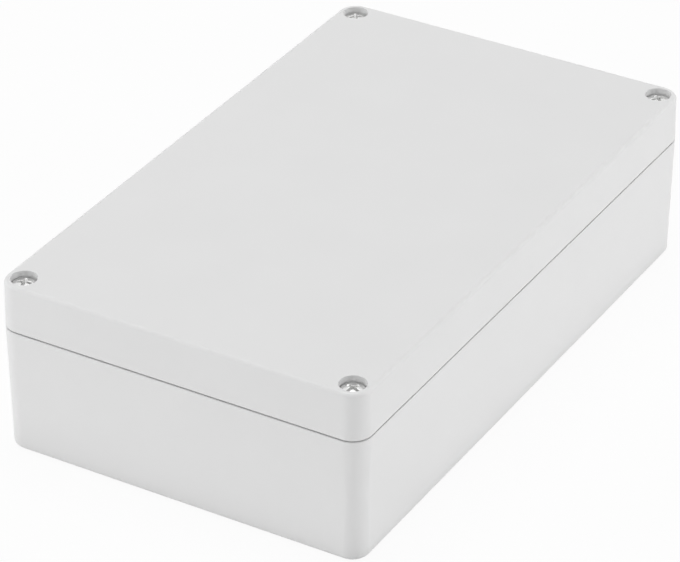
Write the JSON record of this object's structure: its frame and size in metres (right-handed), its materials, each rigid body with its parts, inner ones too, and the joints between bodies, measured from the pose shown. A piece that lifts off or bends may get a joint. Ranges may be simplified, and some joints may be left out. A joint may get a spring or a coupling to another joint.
{
  "type": "waterproof junction box",
  "caption": "Rectangular sealed plastic enclosure with a screwed-down lid, a seal strip on a tongue and groove, corner fixing wells and board pillars.",
  "frame": {"origin": "middle of the underside, where the box rests or meets the wall", "axes": "+X along the length, +Y across the width, +Z from the underside to the lid"},
  "size_m": [0.2, 0.12, 0.056],
  "materials": {
    "housing": "fine satin moulded ABS, light grey",
    "seal": "dull dark grey elastomer",
    "screw_steel": "bright stainless steel",
    "insert_brass": "bright knurled brass"
  },
  "bodies": {
    "base": {"base": "housing", "insert_front_left": "insert_brass", "insert_front_right": "insert_brass", "insert_back_left": "insert_brass", "insert_back_right": "insert_brass"},
    "lid": {"lid": "housing", "lid_seal": "seal"},
    "screw_front_left": {"lid_screw_front_left": "screw_steel"},
    "screw_front_right": {"lid_screw_front_right": "screw_steel"},
    "screw_back_left": {"lid_screw_back_left": "screw_steel"},
    "screw_back_right": {"lid_screw_back_right": "screw_steel"}
  },
  "joints": [
    {"name": "lid_lift", "type": "slide", "parent": "base", "child": "lid", "axis": [0, 0, 1], "range_m": [0, 0.06]},
    {"name": "screw_front_left_turn", "type": "hinge", "parent": "lid", "child": "screw_front_left", "pos_m": [-0.094, -0.054, 0.0521], "axis": [0, 0, 1], "continuous": true},
    {"name": "screw_front_right_turn", "type": "hinge", "parent": "lid", "child": "screw_front_right", "pos_m": [0.094, -0.054, 0.0521], "axis": [0, 0, 1], "continuous": true},
    {"name": "screw_back_left_turn", "type": "hinge", "parent": "lid", "child": "screw_back_left", "pos_m": [-0.094, 0.054, 0.0521], "axis": [0, 0, 1], "continuous": true},
    {"name": "screw_back_right_turn", "type": "hinge", "parent": "lid", "child": "screw_back_right", "pos_m": [0.094, 0.054, 0.0521], "axis": [0, 0, 1], "continuous": true}
  ]
}
